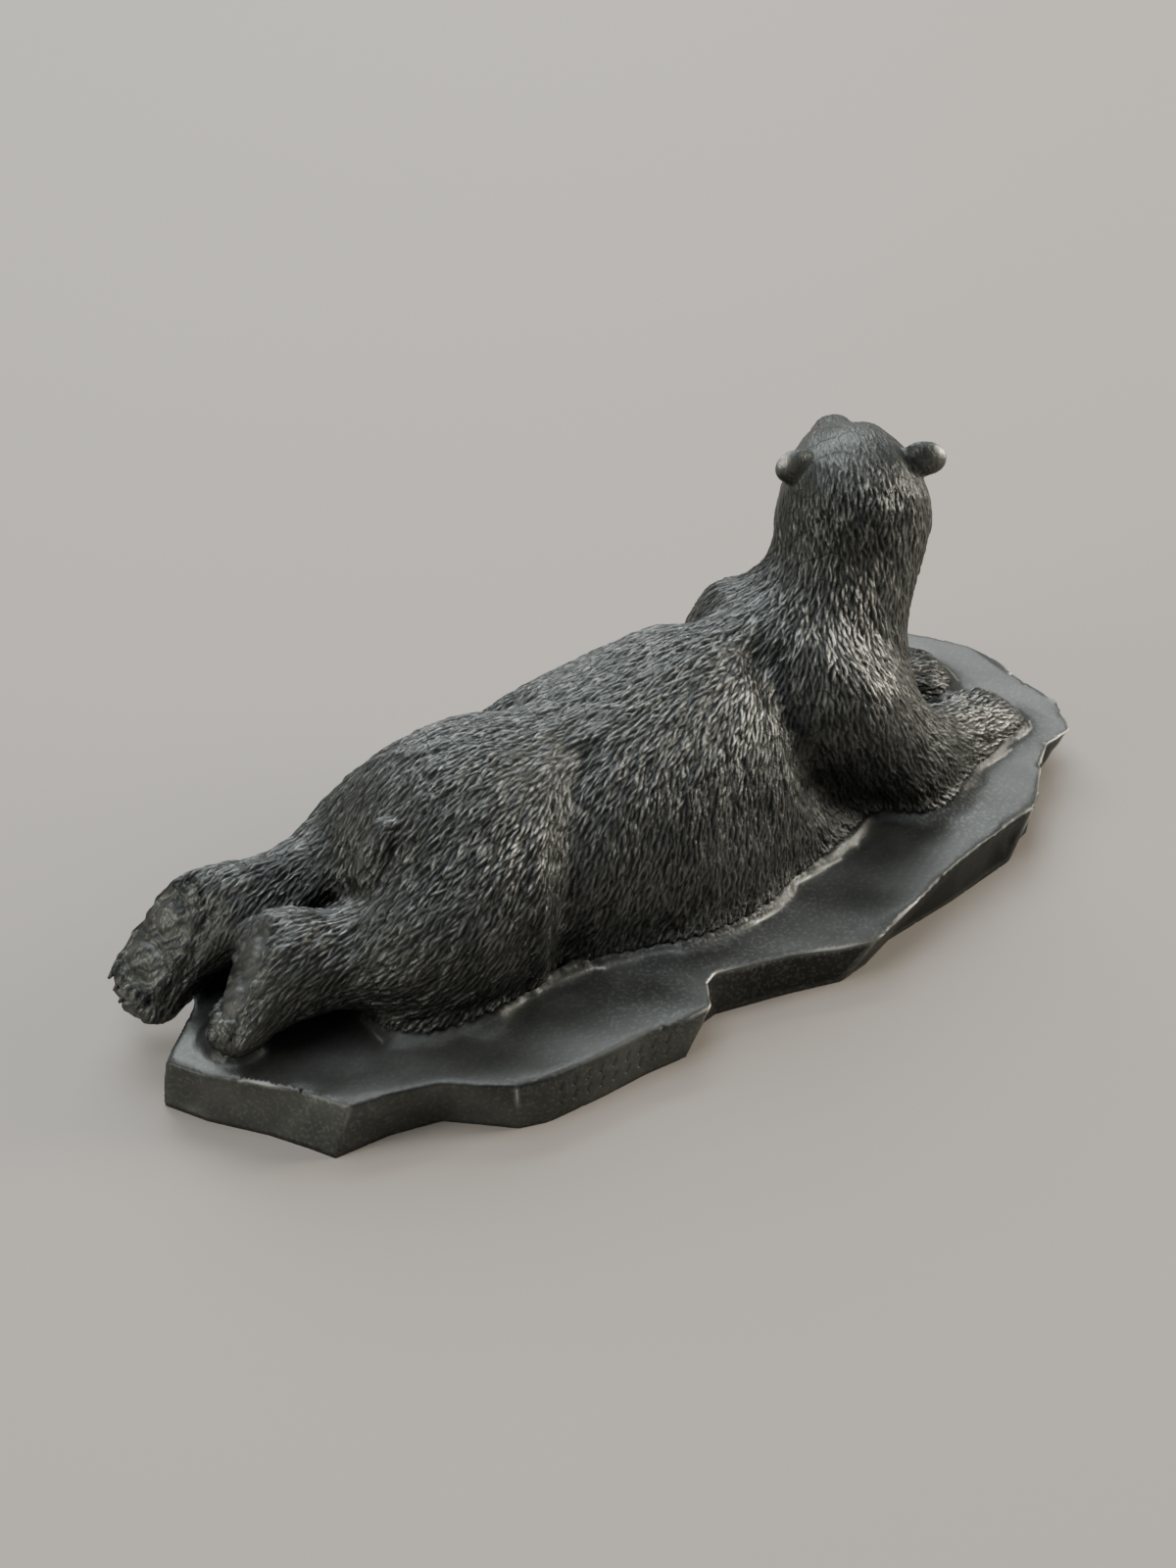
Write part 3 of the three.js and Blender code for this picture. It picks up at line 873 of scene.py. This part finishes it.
# Worn bare metal on the arrises; the lighter top of the floe is a painted highlight.
keep(ice_skin, "worn_and_lit", np.maximum(bare, 0.38 * on_top))
shaded_wall = (1 - on_top) * smooth_step(-16, 0, x) * smooth_step(0, -15, y)
shaded_wall *= smooth_step(0.5, 1.2, arris_off)
# Painted shade on the near walls, and dark patina with painted shade along the fur line.
keep(ice_skin, "patina_and_shade", np.maximum(shaded_wall, 0.5 * np.exp(-((ice_depth / 1.5) ** 2))))
keep(ice_skin, "residue", soft_spots(ice.co, RESIDUE) * (0.25 + 0.5 * np.exp(-((ice_depth / 2) ** 2))))
print("bare arris share", round(float((bare > 0.5).mean()), 3))

# %% [markdown]
# One mesh of the whole coat would be too heavy for one piece, so it is cut across the body into
# five. Each piece keeps the normals that the whole coat had, and the cuts can't be seen.

# %% Pieces
COAT_PIECES = ("coat_hind_feet", "coat_haunches", "coat_flanks", "coat_shoulders", "coat_head")


def piece_of(mesh, name, face_mask):
    """A new object with only the marked faces, and the whole mesh's normals."""
    part = mesh.copy()
    part.name = name
    whole_normal = part.attributes.new("whole_normal", "FLOAT_VECTOR", "POINT")
    whole_normal.data.foreach_set("vector", normals(mesh).astype(np.float32).ravel())
    shape = bmesh.new()
    shape.from_mesh(part)
    others = [face for face in shape.faces if not face_mask[face.index]]
    bmesh.ops.delete(shape, geom=others, context="FACES")
    shape.to_mesh(part)
    shape.free()
    part.shade_smooth()
    kept = np.empty(len(part.vertices) * 3, np.float32)
    part.attributes["whole_normal"].data.foreach_get("vector", kept)
    part.normals_split_custom_set_from_vertices(kept.reshape(-1, 3))
    part.attributes.remove(part.attributes["whole_normal"])
    return placed(name, part)


middles = np.empty(len(coat_mesh.polygons) * 3)
coat_mesh.polygons.foreach_get("center", middles)
across_body = middles.reshape(-1, 3)[:, 0]
cuts = np.quantile(across_body, np.linspace(0, 1, len(COAT_PIECES) + 1))
cuts[0] = -np.inf
cuts[-1] = np.inf
pieces = []
for name, low, high in zip(COAT_PIECES, cuts, cuts[1:]):
    pieces.append(piece_of(coat_mesh, name, (across_body >= low) & (across_body < high)))
ice_skin.shade_smooth()
pieces.append(placed("ice_floe", ice_skin))
print([(p.name, sum(len(f.vertices) - 2 for f in p.data.polygons)) for p in pieces])

# %% [markdown]
# Eyes and claws are small beads and points that stand on the skin. Each eye is a ball set in its
# socket, and each claw a slim cone, bent down a little, growing out of its toe.

# %% Eyes and claws
EYE_RADIUS = 1.0
EYE_SET_IN = 0.35
CLAW_LENGTH = 1.7
CLAW_ROOT = 0.6
CLAW_TIP = 0.22
PAW_CLAW_GAP = 2.3


def add_piece(name, shape):
    mesh = bpy.data.meshes.new(name)
    shape.to_mesh(mesh)
    shape.free()
    mesh.shade_smooth()
    pieces.append(placed(name, mesh))


def make_eyes():
    shape = bmesh.new()
    for place, outward in EYES:
        middle = Matrix.Translation(Vector((place - EYE_SET_IN * outward) * MM))
        bmesh.ops.create_uvsphere(shape, u_segments=24, v_segments=16, radius=EYE_RADIUS * MM, matrix=middle)
    add_piece("eyes", shape)


def claw_places():
    """Root and direction of each claw."""
    claws = []
    for sole in SOLES:
        for toe in TOES:
            root = sole.at(0.97 - 0.03 * abs(toe), toe * TOE_GAP, -0.7)
            claws.append((root, 0.85 * sole.down + 0.1 * sole.face))
    for middle, ahead in PAWS:
        beside = vec(-ahead[1], ahead[0], 0)
        for toe in TOES:
            root = middle + (7.0 - 0.25 * toe * toe) * ahead + PAW_CLAW_GAP * toe * beside + vec(0, 0, -0.9)
            claws.append((root, ahead + vec(0, 0, -0.35)))
    return claws


def make_claws():
    shape = bmesh.new()
    for root, lie in claw_places():
        turn = Vector(lie).to_track_quat("Z", "Y").to_matrix().to_4x4()
        stand = Matrix.Translation(Vector((root + 0.5 * lie) * MM)) @ turn
        bmesh.ops.create_cone(
            shape, cap_ends=True, segments=12, radius1=CLAW_ROOT * MM, radius2=CLAW_TIP * MM,
            depth=CLAW_LENGTH * MM, matrix=stand,
        )
    add_piece("claws", shape)


make_eyes()
make_claws()
print("claws", len(claw_places()))

# %% [markdown]
# The metal looks like a white metal, cast and then darkened with a patina and worn back. The patina is made
# nearly black deep among the locks and in a few pooled patches, with painted shade there, and on the near
# walls of the floe, where it is painted shade. It is a neutral grey elsewhere, lighter where handling would
# wear it thin and on the lock tops, with a painted highlight on faces that look up, on the top of the floe
# and in a few lighter patches. It is gone on the arrises, where the bright metal shows, and the same bright
# colour is a painted glint on the lightest lock tops. It is metal all over, so the shader is metallic, and
# rough, because the patina is a matt crust. The grain of the mould is made 0.2 mm, the specks 0.6 mm and the
# blotches of the patina 12 mm. The locks are cut in the mesh, and the single hairs on them, 0.3 mm wide, are
# a bump that follows the "hair" rows.

# %% Patinated white metal
def linear(hex_colour):
    """An sRGB hex colour as the linear values Blender works in."""
    parts = [int(hex_colour[i:i + 2], 16) / 255 for i in (1, 3, 5)]
    return (*[c / 12.92 if c < 0.04045 else ((c + 0.055) / 1.055) ** 2.4 for c in parts], 1)


def add_node(tree, kind, inputs=None, **settings):
    """Adds one node. An input's value is a number, a colour or another node's output."""
    node = tree.nodes.new(kind)
    for name, value in settings.items():
        setattr(node, name, value)
    for name, value in (inputs or {}).items():
        if isinstance(value, bpy.types.NodeSocket):
            tree.links.new(value, node.inputs[name])
        else:
            node.inputs[name].default_value = value
    return node


# The deepest colour is dark patina and painted shade, the lighter patina is worn patina and painted
# highlight, and the bare metal shows on the arrises and ear tips and is a painted glint on the lightest lock
# tops.
PATINA_DEEP_AND_SHADE = "#1B1C1C"
PATINA = "#464946"
PATINA_WORN_AND_LIT = "#8B8D88"
BARE_METAL_AND_GLINT = "#DAD7CC"
DRY_RESIDUE = "#A1A3A0"
GRAIN = 0.2 * MM
SPECKLE = 0.6 * MM
BLOTCH = 12 * MM
STRAND = (1 / 1.8, 1 / 0.3, 1.0)  # one over a hair's length and width in mm


METALLIC = 0.85
SMOOTHEST = 0.38
ROUGHEST = 0.52


def mixed(tree, factor, first, second):
    """The output of a colour mix. First and second are a colour or an output."""
    node = add_node(tree, "ShaderNodeMix", data_type="RGBA")
    for socket, value in zip((node.inputs[0], node.inputs[6], node.inputs[7]), (factor, first, second)):
        if isinstance(value, bpy.types.NodeSocket):
            tree.links.new(value, socket)
        else:
            socket.default_value = value
    return node.outputs[2]


def of_mesh(tree, name, output="Fac"):
    """What the mesh keeps under this name."""
    return add_node(tree, "ShaderNodeAttribute", attribute_name=name).outputs[output]


def noise(tree, where, scale, detail):
    settings = {"Vector": where, "Scale": scale, "Detail": detail}
    return add_node(tree, "ShaderNodeTexNoise", settings).outputs["Fac"]


def ramp(tree, value, low, high, end=1.0, start=0.0):
    """Start where the value is low, end where it is high, and a straight line between."""
    settings = {"Value": value, "From Min": low, "From Max": high, "To Min": start, "To Max": end}
    return add_node(tree, "ShaderNodeMapRange", settings).outputs["Result"]


def times(tree, first, second):
    return add_node(tree, "ShaderNodeMath", {0: first, 1: second}, operation="MULTIPLY").outputs[0]


def patina_colour(tree, blotch, speckle):
    """The colours of the finish, each laid over the one before: the patina first, the residue last."""
    worn_and_lit = of_mesh(tree, "worn_and_lit")
    dust = times(tree, ramp(tree, speckle, 0.5, 0.64), of_mesh(tree, "residue"))
    # The lighter layers lay worn patina and painted highlight, the darkest layer dark patina and painted
    # shade.
    layers = (
        (ramp(tree, speckle, 0.5, 0.68, end=0.25), PATINA_WORN_AND_LIT),
        (ramp(tree, worn_and_lit, 0.2, 0.7, end=0.8), PATINA_WORN_AND_LIT),
        (times(tree, of_mesh(tree, "patina_and_shade"), 0.8), PATINA_DEEP_AND_SHADE),
        (ramp(tree, worn_and_lit, 0.6, 0.9, end=0.9), BARE_METAL_AND_GLINT),
        (dust, DRY_RESIDUE),
    )
    thin = ramp(tree, blotch, 0.35, 0.7, end=0.35)
    colour = mixed(tree, thin, linear(PATINA), linear(PATINA_WORN_AND_LIT))
    for share, layer in layers:
        colour = mixed(tree, share, colour, linear(layer))
    return colour


def patina_bump(tree, grain, strands):
    """The normal, roughened by the mould's grain and then by the single hairs."""
    crust = {"Height": grain, "Strength": 0.3, "Distance": 0.08 * MM}
    rough = add_node(tree, "ShaderNodeBump", crust).outputs["Normal"]
    hairs = {"Height": strands, "Strength": 0.7, "Distance": 0.22 * MM, "Normal": rough}
    return add_node(tree, "ShaderNodeBump", hairs).outputs["Normal"]


def patinated_white_metal():
    material = bpy.data.materials.new("patinated_cast_white_metal")
    material.use_nodes = True
    tree = material.node_tree
    shader = tree.nodes["Principled BSDF"]
    where = add_node(tree, "ShaderNodeTexCoord").outputs["Object"]
    blotch = noise(tree, where, 1 / BLOTCH, 5.0)
    speckle = noise(tree, where, 1 / SPECKLE, 3.0)
    grain = noise(tree, where, 1 / GRAIN, 3.0)
    stretch = {"Vector": of_mesh(tree, "hair", "Vector"), "Scale": STRAND}
    along_hair = add_node(tree, "ShaderNodeMapping", stretch).outputs["Vector"]
    strands = noise(tree, along_hair, 1.0, 2.0)
    rough = ramp(tree, blotch, 0.3, 0.7, start=SMOOTHEST, end=ROUGHEST)
    shader.inputs["Metallic"].default_value = METALLIC
    tree.links.new(patina_colour(tree, blotch, speckle), shader.inputs["Base Color"])
    tree.links.new(rough, shader.inputs["Roughness"])
    tree.links.new(patina_bump(tree, grain, strands), shader.inputs["Normal"])
    return material


patina = patinated_white_metal()
for piece in pieces:
    piece.data.materials.clear()
    piece.data.materials.append(patina)
    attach(piece, "root")
    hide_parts(NODE)
print("material", patina.name)

# %% [markdown]
# The bear lies on a plain pale floor in a room with a large window behind it: one big cool soft lamp there
# and a weaker one over it. A low lamp at the right lights the neck and the shoulders, which also carry
# painted highlight, and one at the left the soles. Little light comes from the viewer, so the near walls are
# dark, and painted shade darkens them further.

# %% Floor and light
FLOOR_COLOUR = "#C5BDB1"
FLOOR_ROUGHNESS = 0.6
ROOM_COLOUR = "#DADCE0"
ROOM_LIGHT = 0.24
AIMED_AT = Vector((0, 0, 0.02))


def make_floor():
    shape = bmesh.new()
    bmesh.ops.create_grid(shape, x_segments=4, y_segments=4, size=3.0)
    mesh = bpy.data.meshes.new("floor")
    shape.to_mesh(mesh)
    shape.free()
    material = bpy.data.materials.new("painted_floor")
    material.use_nodes = True
    shader = material.node_tree.nodes["Principled BSDF"]
    shader.inputs["Base Color"].default_value = linear(FLOOR_COLOUR)
    shader.inputs["Roughness"].default_value = FLOOR_ROUGHNESS
    mesh.materials.append(material)
    floor = placed("floor", mesh)


def soft_lamp(name, place, size, watts, colour):
    data = bpy.data.lights.new(name, "AREA")
    data.shape = "RECTANGLE"
    data.size, data.size_y = size
    data.energy = watts
    data.color = linear(colour)[:3]
    lamp = placed(name, data)
    lamp.location = place
    lamp.rotation_euler = (AIMED_AT - Vector(place)).to_track_quat("-Z", "Y").to_euler()


make_floor()
soft_lamp("window", (0.42, 0.9, 0.85), (1.1, 0.8), 12.5, "#F6FAFF")
soft_lamp("ceiling", (-0.15, 0.15, 1.2), (0.8, 0.8), 4.5, "#F2F6FF")
soft_lamp("doorway", (0.95, -0.4, 0.42), (0.4, 0.5), 8, "#FFF6EA")
soft_lamp("left_window", (-1.0, 0.1, 0.4), (0.5, 0.4), 3, "#FFFCF2")
world = bpy.data.worlds.new("room")
bpy.context.scene.world = world
world.use_nodes = True
background = world.node_tree.nodes["Background"]
background.inputs["Color"].default_value = linear(ROOM_COLOUR)
background.inputs["Strength"].default_value = ROOM_LIGHT
